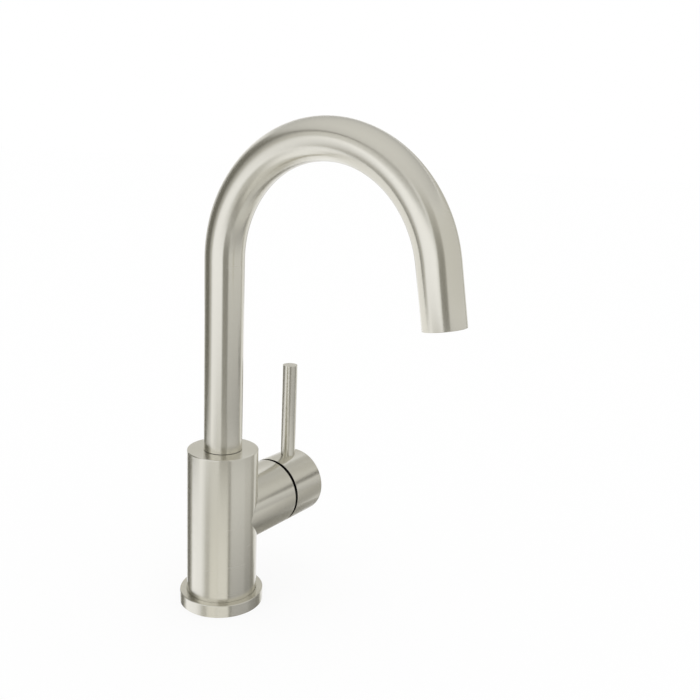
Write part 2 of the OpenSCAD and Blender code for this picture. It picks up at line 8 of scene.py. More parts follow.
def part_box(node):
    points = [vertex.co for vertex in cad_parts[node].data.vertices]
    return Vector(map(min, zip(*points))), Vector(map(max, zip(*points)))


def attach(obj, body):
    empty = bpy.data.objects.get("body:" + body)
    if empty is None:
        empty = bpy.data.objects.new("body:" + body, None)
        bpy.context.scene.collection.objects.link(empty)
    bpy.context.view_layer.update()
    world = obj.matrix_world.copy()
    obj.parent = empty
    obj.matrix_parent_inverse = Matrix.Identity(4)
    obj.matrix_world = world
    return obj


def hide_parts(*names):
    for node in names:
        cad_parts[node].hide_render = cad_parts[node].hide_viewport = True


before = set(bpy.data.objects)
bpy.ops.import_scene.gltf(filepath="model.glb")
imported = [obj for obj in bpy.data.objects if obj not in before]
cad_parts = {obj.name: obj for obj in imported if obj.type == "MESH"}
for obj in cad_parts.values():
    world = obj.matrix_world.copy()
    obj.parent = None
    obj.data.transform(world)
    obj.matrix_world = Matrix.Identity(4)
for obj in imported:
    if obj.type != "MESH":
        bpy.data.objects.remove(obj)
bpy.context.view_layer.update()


# Faucet body: an upright brass casting, turned and brushed, that stands in the base flange and holds
# the spout in a socket from above. The hoses and the stud screw into its foot, a grub screw comes in
# from the back, and the valve arm is brazed into its side.
def deselect():
    if bpy.context.object and bpy.context.object.mode != "OBJECT":
        bpy.ops.object.mode_set(mode="OBJECT")
    bpy.ops.object.select_all(action="DESELECT")


def start_rod(name, radius, low, high, along="Z", at=(0, 0), around=192):
    deselect()
    middle = (low + high) / 2
    place = {"X": (middle, at[0], at[1]), "Y": (at[0], middle, at[1]), "Z": (at[0], at[1], middle)}[along]
    turn = {"X": (0, math.pi / 2, 0), "Y": (-math.pi / 2, 0, 0), "Z": (0, 0, 0)}[along]
    bpy.ops.mesh.primitive_cylinder_add(
        vertices=around, radius=radius, depth=high - low, location=place, rotation=turn)
    bpy.ops.object.transform_apply(location=True, rotation=True, scale=True)
    rod = bpy.context.object
    rod.name = rod.data.name = name
    bpy.ops.object.mode_set(mode="EDIT")
    bpy.ops.mesh.select_all(action="DESELECT")
    return rod


def pick_faces(piece, wanted):
    bpy.ops.mesh.select_mode(type="FACE")
    bpy.ops.mesh.select_all(action="DESELECT")
    mesh = bmesh.from_edit_mesh(piece.data)
    for face in mesh.faces:
        if wanted(face.calc_center_median(), face.normal):
            face.select_set(True)
    bmesh.update_edit_mesh(piece.data)


def pick_edges(piece, wanted):
    bpy.ops.mesh.select_mode(type="EDGE")
    bpy.ops.mesh.select_all(action="DESELECT")
    mesh = bmesh.from_edit_mesh(piece.data)
    for edge in mesh.edges:
        if all(wanted(corner.co) for corner in edge.verts):
            edge.select_set(True)
    bmesh.update_edit_mesh(piece.data)


def push(x=0, y=0, z=0):
    bpy.ops.mesh.extrude_region_move(TRANSFORM_OT_translate={"value": (x, y, z)})


def cut(piece, cutter):
    deselect()
    bpy.context.view_layer.objects.active = piece
    modifier = piece.modifiers.new("cut", "BOOLEAN")
    modifier.operation = "DIFFERENCE"
    modifier.object = cutter
    bpy.ops.object.modifier_apply(modifier=modifier.name)
    bpy.data.objects.remove(cutter)


def drill(piece, radius, low, high, along="Z", at=(0, 0), around=64):
    cut(piece, start_rod("drill", radius, low, high, along, at, around))


def close_to(value, target, by=0.00002):
    return abs(value - target) < by


def from_axis(place):
    return math.hypot(place.x, place.y)


# The map runs along the axis and slopes with the radius, so that a flat end has a width in it too.
map_slant = 0.37
map_scale = 10


def lay_turned_map(piece, axis, at=(0, 0)):
    while piece.data.uv_layers:
        piece.data.uv_layers.remove(piece.data.uv_layers[0])
    layer = piece.data.uv_layers.new(name="turned")
    cross = [i for i in range(3) if i != axis]

    def place(point):
        a, b = point[cross[0]] - at[0], point[cross[1]] - at[1]
        return point[axis] - map_slant * math.hypot(a, b), math.atan2(b, a) / math.tau

    for face in piece.data.polygons:
        middle = place(face.center)[1]
        for loop in face.loop_indices:
            along, turn = place(piece.data.vertices[piece.data.loops[loop].vertex_index].co)
            turn -= round(turn - middle)
            layer.data[loop].uv = (along * map_scale, turn)


smooth_below = math.radians(35)


def finish_turned(piece, axis, material, at=(0, 0)):
    deselect()
    bpy.context.view_layer.objects.active = piece
    piece.select_set(True)
    bpy.ops.object.shade_smooth_by_angle(angle=smooth_below)
    even = piece.modifiers.new("even", "WEIGHTED_NORMAL")
    even.weight = 100
    even.keep_sharp = True
    bpy.ops.object.modifier_apply(modifier=even.name)
    lay_turned_map(piece, axis, at)
    piece.data.materials.clear()
    piece.data.materials.append(material)


def wire(tree, kind, sockets, **settings):
    made = tree.nodes.new(kind)
    for name, value in settings.items():
        setattr(made, name, value)
    for name, value in sockets.items():
        if isinstance(value, bpy.types.NodeSocket):
            tree.links.new(value, made.inputs[name])
        else:
            made.inputs[name].default_value = value
    return made


def make_group(name, inputs, outputs):
    group = bpy.data.node_groups.new(name, "ShaderNodeTree")
    for socket, value in inputs.items():
        kind = "NodeSocketVector" if value is None else "NodeSocketFloat"
        made = group.interface.new_socket(socket, in_out="INPUT", socket_type=kind)
        if value is not None:
            made.default_value = value
    for socket in outputs:
        group.interface.new_socket(socket, in_out="OUTPUT", socket_type="NodeSocketFloat")
    return group, group.nodes.new("NodeGroupInput").outputs, group.nodes.new("NodeGroupOutput").inputs


def make_brushed_lines():
    group, given, result = make_group(
        "brushed lines", {"Vector": None, "Streak length": 0.03, "Line width": 0.00025},
        ["Lines", "Cloud", "Marks"])
    per_length = wire(group, "ShaderNodeMath", {0: 1.0, 1: given["Streak length"]}, operation="DIVIDE")
    per_width = wire(group, "ShaderNodeMath", {0: 1.0, 1: given["Line width"]}, operation="DIVIDE")
    stretch = wire(group, "ShaderNodeCombineXYZ", {
        "X": per_length.outputs[0], "Y": per_length.outputs[0], "Z": per_width.outputs[0]})
    stretched = wire(group, "ShaderNodeVectorMath", {0: given["Vector"], 1: stretch.outputs[0]},
                     operation="MULTIPLY").outputs[0]
    lines = wire(group, "ShaderNodeTexNoise",
                 {"Vector": stretched, "Scale": 1.0, "Detail": 3.0, "Roughness": 0.6})
    coarser = (0.7, 0.7, 0.3)
    coarse = wire(group, "ShaderNodeVectorMath", {0: stretched, 1: coarser}, operation="MULTIPLY")
    marks = wire(group, "ShaderNodeTexNoise", {"Vector": coarse.outputs[0], "Scale": 1.0, "Detail": 1.0})
    sparse = wire(group, "ShaderNodeMapRange",
                  {"Value": marks.outputs[0], "From Min": 0.55, "From Max": 0.85})
    cloud = wire(group, "ShaderNodeTexNoise", {"Vector": given["Vector"], "Scale": 22.0, "Detail": 2.0})
    group.links.new(lines.outputs[0], result["Lines"])
    group.links.new(cloud.outputs[0], result["Cloud"])
    group.links.new(sparse.outputs[0], result["Marks"])
    return group


brushed_lines = make_brushed_lines()
nickel_light = (0.764, 0.748, 0.678, 1)
nickel_deep = (0.742, 0.725, 0.649, 1)
cloud_share = 0.3
mark_roughness = 0.03
bump_depth = 0.0002


def make_satin_nickel(name, lie="upright", relief=0.012):
    material = bpy.data.materials.new(name)
    material.use_nodes = True
    tree = material.node_tree
    shader = tree.nodes["Principled BSDF"]
    if lie == "unbent":
        place = wire(tree, "ShaderNodeAttribute", {}, attribute_name="unbent").outputs["Vector"]
    else:
        place = tree.nodes.new("ShaderNodeTexCoord").outputs["Object"]
    if lie == "along the arm":
        turned_over = wire(tree, "ShaderNodeMapping", {"Vector": place, "Rotation": (0, -math.pi / 2, 0)})
        place = turned_over.outputs[0]
    lines = wire(tree, "ShaderNodeGroup", {}, node_tree=brushed_lines)
    tree.links.new(place, lines.inputs["Vector"])
    clouds = wire(tree, "ShaderNodeMath",
                  {0: lines.outputs["Cloud"], 1: cloud_share}, operation="MULTIPLY")
    tone = wire(tree, "ShaderNodeMath", {
        0: lines.outputs["Lines"], 1: 1 - cloud_share, 2: clouds.outputs[0]}, operation="MULTIPLY_ADD")
    colour = wire(tree, "ShaderNodeMix",
                  {0: tone.outputs[0], 6: nickel_deep, 7: nickel_light}, data_type="RGBA")
    tree.links.new(colour.outputs[2], shader.inputs["Base Color"])
    rough = wire(tree, "ShaderNodeMapRange", {
        "Value": lines.outputs["Lines"], "From Min": 0.3, "From Max": 0.7, "To Min": 0.240, "To Max": 0.255})
    rougher = wire(tree, "ShaderNodeMath", {
        0: lines.outputs["Marks"], 1: mark_roughness, 2: rough.outputs[0]}, operation="MULTIPLY_ADD")
    tree.links.new(rougher.outputs[0], shader.inputs["Roughness"])
    bump = wire(tree, "ShaderNodeBump",
                {"Height": lines.outputs["Lines"], "Strength": relief, "Distance": bump_depth})
    tree.links.new(bump.outputs[0], shader.inputs["Normal"])
    shader.inputs["Metallic"].default_value = 1.0
    shader.inputs["Anisotropic"].default_value = 0.7
    tangent = wire(tree, "ShaderNodeTangent", {}, direction_type="UV_MAP", uv_map="turned")
    tree.links.new(tangent.outputs[0], shader.inputs["Tangent"])
    return material


satin_nickel_upright = make_satin_nickel("satin nickel upright")
body_low, body_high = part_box("body_casting")
body_radius = body_high.x
body_edge = 0.0006
fit = 0.0001
close_fit = 0.00005
slide_ring_low, slide_ring_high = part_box("swivel_bearing_ring")
slide_ring_seat_radius = slide_ring_high.x + fit
socket_radius = 0.010
socket_depth = 0.025
socket_floor = body_high.z - socket_depth
arm_axis = (0, 0.0608)
spigot_radius = 0.01925
seat_x = 0.009
inlet_x, inlet_y = -0.004, 0.0075
inlet_radius, inlet_end = 0.005, 0.014
riser_radius, riser_start, riser_end = 0.003, 0.013, 0.070
stud_x, stud_radius, stud_end = 0.011, 0.004, 0.020
screw_low, screw_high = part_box("spout_retaining_screw")
screw_height = (screw_low.z + screw_high.z) / 2
screw_radius, screw_hole_start = 0.0025, 0.005
drill_past = 0.002
facing = 0.9
rim_reach = 0.0001

body = start_rod("faucet_body", body_radius, body_low.z, body_high.z)
pick_faces(body, lambda place, normal: normal.z > facing)
bpy.ops.mesh.inset(thickness=body_radius - slide_ring_seat_radius)
push(z=slide_ring_low.z - body_high.z)
bpy.ops.mesh.inset(thickness=slide_ring_seat_radius - socket_radius)
push(z=socket_floor - slide_ring_low.z)
pick_edges(body, lambda corner: close_to(corner.z, body_high.z)
           and from_axis(corner) > body_radius - rim_reach)
bpy.ops.mesh.bevel(offset=body_edge, segments=4, affect="EDGES")
pick_edges(body, lambda corner: close_to(corner.z, body_low.z))
bpy.ops.mesh.bevel(offset=body_edge / 2, segments=2, affect="EDGES")
for side in (-1, 1):
    drill(body, inlet_radius, 0, inlet_end, at=(inlet_x, side * inlet_y))
    drill(body, riser_radius, riser_start, riser_end, at=(inlet_x, side * inlet_y))
drill(body, stud_radius, 0, stud_end, at=(stud_x, 0))
drill(body, spigot_radius, seat_x, body_radius + drill_past, "X", arm_axis, 128)
drill(body, screw_radius, screw_hole_start, body_radius + drill_past, "Y", (0, screw_height))
finish_turned(body, 2, satin_nickel_upright)
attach(body, "body")
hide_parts("body_casting")


# Base flange: a brushed ring round the body's foot that covers the hole in the sink's deck. It has a
# lip under the body, an opening for the hoses, and a groove for its gasket on the underside.
flange_low, flange_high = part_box("base_flange")
flange_radius = flange_high.x
gasket_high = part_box("base_gasket")[1]
gasket_groove_width = 0.004
gasket_groove_out = gasket_high.x + fit
gasket_groove_in = gasket_groove_out - gasket_groove_width
flange_bore = body_radius + fit
flange_opening = 0.018
flange_lip = body_low.z
flange_edge = 0.0005

flange = start_rod("base_flange_ring", flange_radius, flange_low.z, flange_high.z, around=224)
pick_faces(flange, lambda place, normal: normal.z > facing)
bpy.ops.mesh.inset(thickness=flange_radius - flange_bore)
push(z=flange_lip - flange_high.z)
bpy.ops.mesh.inset(thickness=flange_bore - flange_opening)
bpy.ops.mesh.delete(type="ONLY_FACE")
pick_faces(flange, lambda place, normal: normal.z < -facing)
bpy.ops.mesh.inset(thickness=flange_radius - gasket_groove_out)
bpy.ops.mesh.inset(thickness=gasket_groove_out - gasket_groove_in)
bpy.ops.mesh.inset(thickness=gasket_groove_in - flange_opening)
bpy.ops.mesh.delete(type="ONLY_FACE")
pick_edges(flange, lambda corner: from_axis(corner) < flange_opening + rim_reach)
bpy.ops.mesh.bridge_edge_loops()
pick_faces(flange, lambda place, normal: normal.z < -facing
           and gasket_groove_in < from_axis(place) < gasket_groove_out)
push(z=gasket_high.z)
pick_edges(flange, lambda corner: close_to(corner.z, flange_high.z)
           and from_axis(corner) > flange_radius - rim_reach)
bpy.ops.mesh.bevel(offset=flange_edge, segments=4, affect="EDGES")
pick_edges(flange, lambda corner: close_to(corner.z, flange_high.z)
           and from_axis(corner) < flange_bore + rim_reach)
bpy.ops.mesh.bevel(offset=flange_edge / 3, segments=2, affect="EDGES")
bpy.ops.mesh.select_all(action="SELECT")
bpy.ops.mesh.normals_make_consistent(inside=False)
finish_turned(flange, 2, satin_nickel_upright)
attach(flange, "body")
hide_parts("base_flange")


# Valve arm: a brushed brass barrel brazed into the body's side, where it ends in a saddle. Its mouth
# takes the cartridge and its nut.
satin_nickel_arm = make_satin_nickel("satin nickel along the arm", "along the arm")
arm_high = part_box("valve_arm")[1]
arm_radius = arm_high.y
arm_start = 0.001
gap_set_back = 0.0004
arm_end = arm_high.x - gap_set_back
arm_edge = 0.0005
mouth_radius = 0.020
mouth_floor = 0.0326
cartridge_bore = 0.0178


def from_arm_axis(place):
    return math.hypot(place.y, place.z - arm_axis[1])


arm = start_rod("valve_arm_barrel", arm_radius, arm_start, arm_end, "X", arm_axis)
pick_faces(arm, lambda place, normal: normal.x > facing)
bpy.ops.mesh.inset(thickness=arm_radius - mouth_radius)
push(x=mouth_floor - arm_end)
bpy.ops.mesh.inset(thickness=mouth_radius - cartridge_bore)
bpy.ops.mesh.delete(type="ONLY_FACE")
pick_faces(arm, lambda place, normal: normal.x < -facing and close_to(place.x, arm_start))
bpy.ops.mesh.inset(thickness=arm_radius - cartridge_bore)
bpy.ops.mesh.delete(type="ONLY_FACE")
pick_edges(arm, lambda corner: from_arm_axis(corner) < cartridge_bore + rim_reach)
bpy.ops.mesh.bridge_edge_loops()
pick_edges(arm, lambda corner: close_to(corner.x, arm_end)
           and from_arm_axis(corner) > arm_radius - rim_reach)
bpy.ops.mesh.bevel(offset=arm_edge, segments=2, affect="EDGES")
pick_edges(arm, lambda corner: close_to(corner.x, arm_end)
           and from_arm_axis(corner) < mouth_radius + rim_reach)
bpy.ops.mesh.bevel(offset=arm_edge / 3, segments=2, affect="EDGES")
bpy.ops.mesh.select_all(action="SELECT")
bpy.ops.mesh.normals_make_consistent(inside=False)
saddle = start_rod("saddle", body_radius + close_fit, body_low.z, body_high.z)
drill(saddle, spigot_radius - close_fit, seat_x, body_radius + drill_past, "X", arm_axis, 192)
cut(arm, saddle)
finish_turned(arm, 0, satin_nickel_arm, arm_axis)
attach(arm, "body")
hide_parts("valve_arm")


# Handle hub: a brushed cap beyond the gap at the arm's end, hollow towards the arm, with a boss that
# the stem's square end goes into. The lever screws in from above and a grub screw from below.
hub_low, hub_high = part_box("handle_hub")
hub_start = hub_low.x + gap_set_back
hub_radius = hub_high.y
hub_wall = 0.00135
hub_hollow = 0.0065
hub_floor = hub_low.x + hub_hollow
boss_radius = 0.0085
boss_reach = 0.0028
hub_edge = 0.0005
hub_mouth_edge = hub_edge * 0.6
hub_past = 0.001
stem_low, stem_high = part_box("stem")
stem_width = stem_high.y - stem_low.y
square_length, square_play = 0.02, 0.0005
lever_low, lever_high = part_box("lever")
lever_x = (lever_low.x + lever_high.x) / 2
lever_radius = lever_high.y
lever_seat = 0.0819
lever_thread_radius = 0.003
plug_low, plug_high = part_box("set_screw_plug")
set_screw_x = (plug_low.x + plug_high.x) / 2
set_screw_radius = 0.0025


def make_skin():
    group, given, result = make_group(
        "moulded skin", {"Vector": None, "Grain size": 0.0004}, ["Grain", "Cloud"])
    size = wire(group, "ShaderNodeMath", {0: 1.0, 1: given["Grain size"]}, operation="DIVIDE").outputs[0]
    grain = wire(group, "ShaderNodeTexNoise", {"Vector": given["Vector"], "Scale": size, "Detail": 3.0})
    cloud = wire(group, "ShaderNodeTexNoise", {"Vector": given["Vector"], "Scale": 60.0, "Detail": 2.0})
    group.links.new(grain.outputs[0], result["Grain"])
    group.links.new(cloud.outputs[0], result["Cloud"])
    return group


moulded_skin = make_skin()
rough_spread = 0.05


def make_plain(name, light, deep, rough, metallic=0.0, bump=0.05, coat=0.0, gloss=0.5):
    material = bpy.data.materials.new(name)
    material.use_nodes = True
    tree = material.node_tree
    shader = tree.nodes["Principled BSDF"]
    skin = wire(tree, "ShaderNodeGroup", {}, node_tree=moulded_skin)
    tree.links.new(tree.nodes.new("ShaderNodeTexCoord").outputs["Object"], skin.inputs["Vector"])
    colour = wire(tree, "ShaderNodeMix", {0: skin.outputs["Cloud"], 6: deep, 7: light}, data_type="RGBA")
    tree.links.new(colour.outputs[2], shader.inputs["Base Color"])
    roughness = wire(tree, "ShaderNodeMapRange", {
        "Value": skin.outputs["Grain"], "From Min": 0.3, "From Max": 0.7,
        "To Min": rough - rough_spread, "To Max": rough + rough_spread})
    tree.links.new(roughness.outputs[0], shader.inputs["Roughness"])
    relief = wire(tree, "ShaderNodeBump",
                  {"Height": skin.outputs["Grain"], "Strength": bump, "Distance": bump_depth})
    tree.links.new(relief.outputs[0], shader.inputs["Normal"])
    shader.inputs["Metallic"].default_value = metallic
    shader.inputs["Coat Weight"].default_value = coat
    shader.inputs["Specular IOR Level"].default_value = gloss
    return material


# Near-black painted shade for the hub's rim face and hollow, which lie in the shaded gap at the arm's end;
# the real cap is plated there like the rest.
hub_hollow_painted_shade = make_plain(
    "hub hollow painted shade", (0.016, 0.016, 0.015, 1), (0.008, 0.008, 0.008, 1), 0.6, gloss=0.1)
hub = start_rod("handle_hub_cap", hub_radius, hub_start, hub_high.x, "X", arm_axis)
pick_faces(hub, lambda place, normal: normal.x < -facing)
bpy.ops.mesh.inset(thickness=hub_wall)
push(x=hub_floor - hub_start)
bpy.ops.mesh.inset(thickness=hub_radius - hub_wall - boss_radius)
push(x=-boss_reach)
pick_edges(hub, lambda corner: close_to(corner.x, hub_high.x)
           and from_arm_axis(corner) > hub_radius - rim_reach)
bpy.ops.mesh.bevel(offset=hub_edge, segments=3, affect="EDGES")
pick_edges(hub, lambda corner: close_to(corner.x, hub_start)
           and from_arm_axis(corner) > hub_radius - rim_reach)
bpy.ops.mesh.bevel(offset=hub_mouth_edge, segments=2, affect="EDGES")
deselect()
bpy.ops.mesh.primitive_cube_add(
    size=1, location=(stem_high.x + square_play - square_length / 2, 0, arm_axis[1]))
square = bpy.context.object
bpy.ops.transform.resize(value=(square_length, stem_width + fit, stem_width + fit))
bpy.ops.object.transform_apply(location=True, rotation=True, scale=True)
cut(hub, square)
drill(hub, lever_thread_radius + fit, lever_low.z - hub_past, hub_high.z, at=(lever_x, 0))
drill(hub, lever_radius + close_fit, lever_seat, hub_high.z + hub_past, at=(lever_x, 0), around=128)
drill(hub, set_screw_radius, hub_low.z - hub_past, arm_axis[1], at=(set_screw_x, 0))
drill(hub, plug_high.y + close_fit, hub_low.z - hub_past, plug_high.z, at=(set_screw_x, 0))
finish_turned(hub, 0, satin_nickel_arm, arm_axis)
# The hub's rim face and hollow get the near-black painted shade in place of the nickel.
hub.data.materials.append(hub_hollow_painted_shade)
for face in hub.data.polygons:
    inward = from_arm_axis(face.center) < hub_radius - hub_mouth_edge
    if inward and face.center.x < hub_floor + fit:
        face.material_index = 1
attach(hub, "handle")
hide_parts("handle_hub")


# Lever: a slim brass rod, brushed and plated like the body. Its foot is turned down to an M6 thread and
# screwed into the hub from above.
lever_edge = 0.0004

lever = start_rod("lever_rod", lever_radius, lever_seat, lever_high.z, at=(lever_x, 0), around=96)
pick_faces(lever, lambda place, normal: normal.z < -facing)
bpy.ops.mesh.inset(thickness=lever_radius - lever_thread_radius)
push(z=lever_low.z - lever_seat)
pick_edges(lever, lambda corner: close_to(corner.z, lever_high.z))
bpy.ops.mesh.bevel(offset=lever_edge, segments=3, affect="EDGES")
finish_turned(lever, 2, satin_nickel_upright, (lever_x, 0))
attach(lever, "handle")
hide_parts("lever")


# Spout tube: a seamless brass tube, bent into a gooseneck, brushed round its whole length and plated.
# Its foot is brazed over the turned spigot that stands in the body's socket.
satin_nickel_spout = make_satin_nickel("satin nickel spout", "unbent", relief=0.022)
tube_low, tube_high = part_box("spout_tube")
tube_radius = tube_high.y
tube_wall = 0.0015
bend_radius = 0.0755
bend_angle = math.radians(170)
bend_start = tube_high.z - bend_radius - tube_radius
straight_end = 0.035
tube_around = 128
bend_steps = 110
tube_edge = 0.0003

deselect()
bpy.ops.mesh.primitive_circle_add(vertices=tube_around, radius=tube_radius, location=(0, 0, tube_low.z))
spout = bpy.context.object
spout.name = spout.data.name = "spout_gooseneck"
bpy.ops.object.transform_apply(location=True, rotation=True, scale=True)
bpy.ops.object.mode_set(mode="EDIT")
bpy.ops.mesh.select_all(action="SELECT")
push(z=bend_start - tube_low.z)
bpy.ops.mesh.spin(steps=bend_steps, angle=bend_angle, center=(0, -bend_radius, bend_start), axis=(-1, 0, 0))
outlet_way = Vector((0, -math.sin(bend_angle), math.cos(bend_angle)))
bend_middle = Vector((0, -bend_radius, bend_start))
outlet_out = Vector((0, math.cos(bend_angle), math.sin(bend_angle)))
outlet = bend_middle + bend_radius * outlet_out + straight_end * outlet_way
push(*(outlet_way * straight_end))
bpy.ops.mesh.select_all(action="SELECT")
bpy.ops.mesh.remove_doubles(threshold=0.000001)
bpy.ops.mesh.normals_make_consistent(inside=False)
bpy.ops.object.mode_set(mode="OBJECT")
wall = spout.modifiers.new("wall", "SOLIDIFY")
wall.thickness = tube_wall
wall.offset = -1
wall.use_even_offset = True
bpy.ops.object.modifier_apply(modifier=wall.name)
bpy.ops.object.mode_set(mode="EDIT")
pick_edges(spout, lambda corner: close_to((corner - outlet).dot(outlet_way), 0))
bpy.ops.mesh.bevel(offset=tube_edge, segments=3, affect="EDGES")
bpy.ops.object.mode_set(mode="OBJECT")
bpy.ops.object.shade_smooth_by_angle(angle=smooth_below)


def straighten(point):
    if point.y > -bend_radius and point.z < bend_start:
        return point.z, point.x, point.y
    arm_out = Vector((0, point.y, point.z)) - bend_middle
    turned = math.atan2(arm_out.z, arm_out.y) % math.tau
    if turned < bend_angle:
        return bend_start + turned * bend_radius, point.x, arm_out.length - bend_radius
    beyond = (Vector((0, point.y, point.z)) - outlet).dot(outlet_way) + straight_end
    return bend_start + bend_angle * bend_radius + beyond, point.x, arm_out.dot(outlet_out) - bend_radius


unbent = spout.data.attributes.new("unbent", "FLOAT_VECTOR", "POINT")
for corner in spout.data.vertices:
    along, side, out = straighten(corner.co)
    unbent.data[corner.index].vector = (side, out, along)
spout_map = spout.data.uv_layers.new(name="turned")
for face in spout.data.polygons:
    rows = [unbent.data[spout.data.loops[loop].vertex_index].vector for loop in face.loop_indices]
    middle = sum((Vector(row) for row in rows), Vector()) / len(rows)
    for loop, row in zip(face.loop_indices, rows):
        turn = math.atan2(row[1], row[0]) / math.tau
        turn -= round(turn - math.atan2(middle[1], middle[0]) / math.tau)
        spout_map.data[loop].uv = ((row[2] - map_slant * math.hypot(row[0], row[1])) * map_scale, turn)
spout.data.materials.append(satin_nickel_spout)
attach(spout, "spout")
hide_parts("spout_tube")


# Turned brass inside: the spout's foot, the aerator's adapter, the cartridge's nut and the stem, cut
# on a lathe and left unplated, so they show fine turning lines and a little tarnish.
def dress(material, *names):
    for name in names:
        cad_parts[name].data.materials.clear()
        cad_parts[name].data.materials.append(material)


dress(make_plain("turned brass", (0.83, 0.66, 0.33, 1), (0.68, 0.50, 0.23, 1), 0.32, metallic=1.0, bump=0.1),
      "spout_foot", "aerator_adapter", "retaining_nut", "stem")


# Cartridge and seals: the cartridge's moulded shell, its acetal turret and carrier, two lapped ceramic
# discs, and black rubber rings where water has to be held.
dress(make_plain("acetal", (0.86, 0.84, 0.78, 1), (0.76, 0.74, 0.68, 1), 0.42),
      "turret", "disc_carrier", "aerator_flow_regulator")
dress(make_plain("moulded grey plastic", (0.52, 0.53, 0.53, 1), (0.42, 0.43, 0.44, 1), 0.45),
      "cartridge_housing", "aerator_shell", "aerator_screen", "set_screw_plug")
# Dark plastic for the cartridge base. The bonnet dome is dark as painted shade, since it shows only through
# the shaded gap at the arm's end.
dress(make_plain("dark plastic and painted shade", (0.030, 0.030, 0.028, 1), (0.018, 0.018, 0.017, 1), 0.6, gloss=0.2),
      "cartridge_base", "bonnet_dome")
dress(make_plain("lapped ceramic", (0.88, 0.87, 0.83, 1), (0.80, 0.79, 0.75, 1), 0.2, bump=0.01, coat=0.3),
      "fixed_disc", "moving_disc")
dress(make_plain("black rubber", (0.024, 0.023, 0.022, 1), (0.014, 0.014, 0.014, 1), 0.62),
      "base_gasket", "port_seals", "disc_seals", "spout_o_rings", "aerator_washer")
dress(make_plain("slide ring acetal", (0.060, 0.056, 0.046, 1), (0.035, 0.033, 0.028, 1), 0.5),
      "swivel_bearing_ring")


# Screws and pin: the grub screws of the spout and of the handle, with a hexagon socket for the key, and
# the pin that the stem turns on, all of bright stainless steel.
dress(make_plain("screw steel", (0.62, 0.61, 0.59, 1), (0.48, 0.47, 0.46, 1), 0.28, metallic=1.0, bump=0.08),
      "spout_retaining_screw", "handle_set_screw", "pivot_pin")


# Light cards: curved strips of paper and cloth that hang round the faucet in a white studio. They show
# only in reflections: white ones make the long highlights, grey and black ones the lines between.
def start_glow(name):
    material = bpy.data.materials.new(name)
    material.use_nodes = True
    material.cycles.emission_sampling = "NONE"
    tree = material.node_tree
    tree.nodes.remove(tree.nodes["Principled BSDF"])
    return material, tree, tree.nodes.new("ShaderNodeTexCoord").outputs["Object"]


def shine(tree, colour, level):
    glow = wire(tree, "ShaderNodeEmission", {"Color": colour, "Strength": level})
    tree.links.new(glow.outputs[0], tree.nodes["Material Output"].inputs["Surface"])
    return glow


# Dim paper is a little yellower than bright paper.
warm_below = 1.12
warm_rate = 0.2
warm_green = 0.19
paper_blue = 1.02


def make_glow(name, middle, half, low, high, left, right, foot):
    material, tree, place = start_glow(name)
    turned_to = wire(tree, "ShaderNodeMapping", {"Vector": place, "Rotation": (0, 0, -middle)})
    around = wire(tree, "ShaderNodeTexGradient", {"Vector": turned_to.outputs[0]}, gradient_type="RADIAL")
    across = wire(tree, "ShaderNodeMapRange", {
        "Value": around.outputs[1], "From Min": 0.5 - half / math.tau, "From Max": 0.5 + half / math.tau,
        "To Min": left, "To Max": right})
    height = wire(tree, "ShaderNodeSeparateXYZ", {"Vector": place})
    upward = wire(tree, "ShaderNodeMapRange", {
        "Value": height.outputs["Z"], "From Min": low, "From Max": high, "To Min": foot, "To Max": 1.0})
    level = wire(tree, "ShaderNodeMath", {0: across.outputs[0], 1: upward.outputs[0]}, operation="MULTIPLY")
    warmth = warm_rate * max(0, warm_below - max(left, right))
    shine(tree, (1, 1 - warm_green * warmth, paper_blue - warmth, 1), level.outputs[0])
    return material


def show_in_reflections(card):
    card.visible_camera = card.visible_diffuse = card.visible_shadow = card.visible_transmission = False


card_step = 4


def hang_card(distance, name, start, end, low, high, left, right=None, foot=1.0):
    deselect()
    bpy.ops.mesh.primitive_plane_add(size=1, location=(0, 0, 0))
    card = bpy.context.object
    card.name = "card_" + name
    first, width = math.radians(start), math.radians(end - start)
    bpy.ops.object.mode_set(mode="EDIT")
    bpy.ops.mesh.select_mode(type="VERT")
    bpy.ops.mesh.select_all(action="SELECT")
    bpy.ops.mesh.merge(type="CENTER")
    bpy.ops.transform.translate(value=(distance * math.cos(first), distance * math.sin(first), low))
    push(z=high - low)
    bpy.ops.mesh.select_all(action="SELECT")
    steps = max(2, round((end - start) / card_step))
    bpy.ops.mesh.spin(steps=steps, angle=width, center=(0, 0, 0), axis=(0, 0, -1))
    bpy.ops.object.mode_set(mode="OBJECT")
    right = left if right is None else right
    card.data.materials.append(make_glow(
        "glow_" + name, first + width / 2, width / 2, low, high, left, right, foot))
    show_in_reflections(card)


